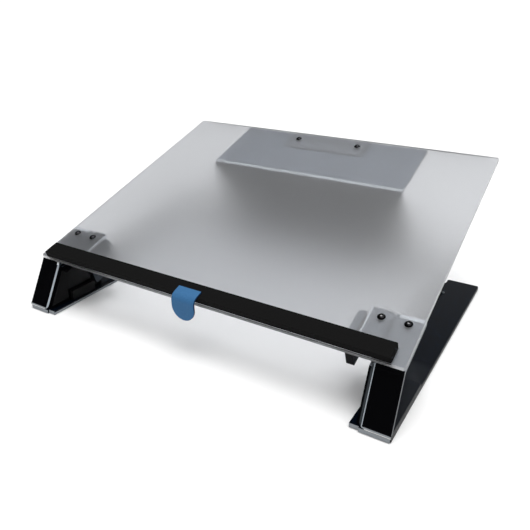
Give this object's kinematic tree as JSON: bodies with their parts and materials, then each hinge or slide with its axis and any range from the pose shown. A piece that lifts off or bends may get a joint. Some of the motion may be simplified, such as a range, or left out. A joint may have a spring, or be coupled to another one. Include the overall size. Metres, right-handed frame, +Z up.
{
  "type": "sliding document holder",
  "caption": "Sloping frosted document holder on black feet that slide back and forth on two flat desk tracks over a keyboard, with a blue pull tab.",
  "frame": {"origin": "centre of the footprint's bounding box, on the desk plane", "axes": "+X to the user's right, +Y away from the user, +Z up"},
  "size_m": [0.525, 0.41, 0.1936],
  "materials": {
    "frosted_acrylic": "frosted, translucent",
    "black_acrylic": "glossy, with paler sawn edges",
    "soft_black": "matte",
    "blue_ribbon": "satin ribbon",
    "black_acetal": "satin",
    "white_glide": "waxy satin",
    "black_steel": "satin black oxide",
    "bright_steel": "zinc plated",
    "black_rubber": "matte"
  },
  "bodies": {
    "base": {"left_track": "black_acrylic", "right_track": "black_acrylic", "rear_tie": "black_steel", "tie_screws": "bright_steel", "track_pads": "black_rubber"},
    "carriage": {"board": "frosted_acrylic", "document_ledge": "soft_black", "pull_tab": "blue_ribbon", "left_foot_channel": "black_acrylic", "right_foot_channel": "black_acrylic", "left_foot_cheek": "black_acrylic", "right_foot_cheek": "black_acrylic", "left_front_plate": "black_acrylic", "right_front_plate": "black_acrylic", "left_finger_grip": "black_acrylic", "right_finger_grip": "black_acrylic", "left_slide_shoe": "black_acetal", "right_slide_shoe": "black_acetal", "shoe_screws": "bright_steel", "foot_glides": "white_glide", "rear_leg": "black_acrylic", "rear_leg_glides": "white_glide", "spreader_plate": "black_steel", "board_bolts": "black_steel", "board_washers": "bright_steel", "board_nuts": "bright_steel"}
  },
  "joints": [
    {"name": "board_slide", "type": "slide", "parent": "base", "child": "carriage", "axis": [0, 1, 0], "range_m": [0, 0.25]}
  ]
}
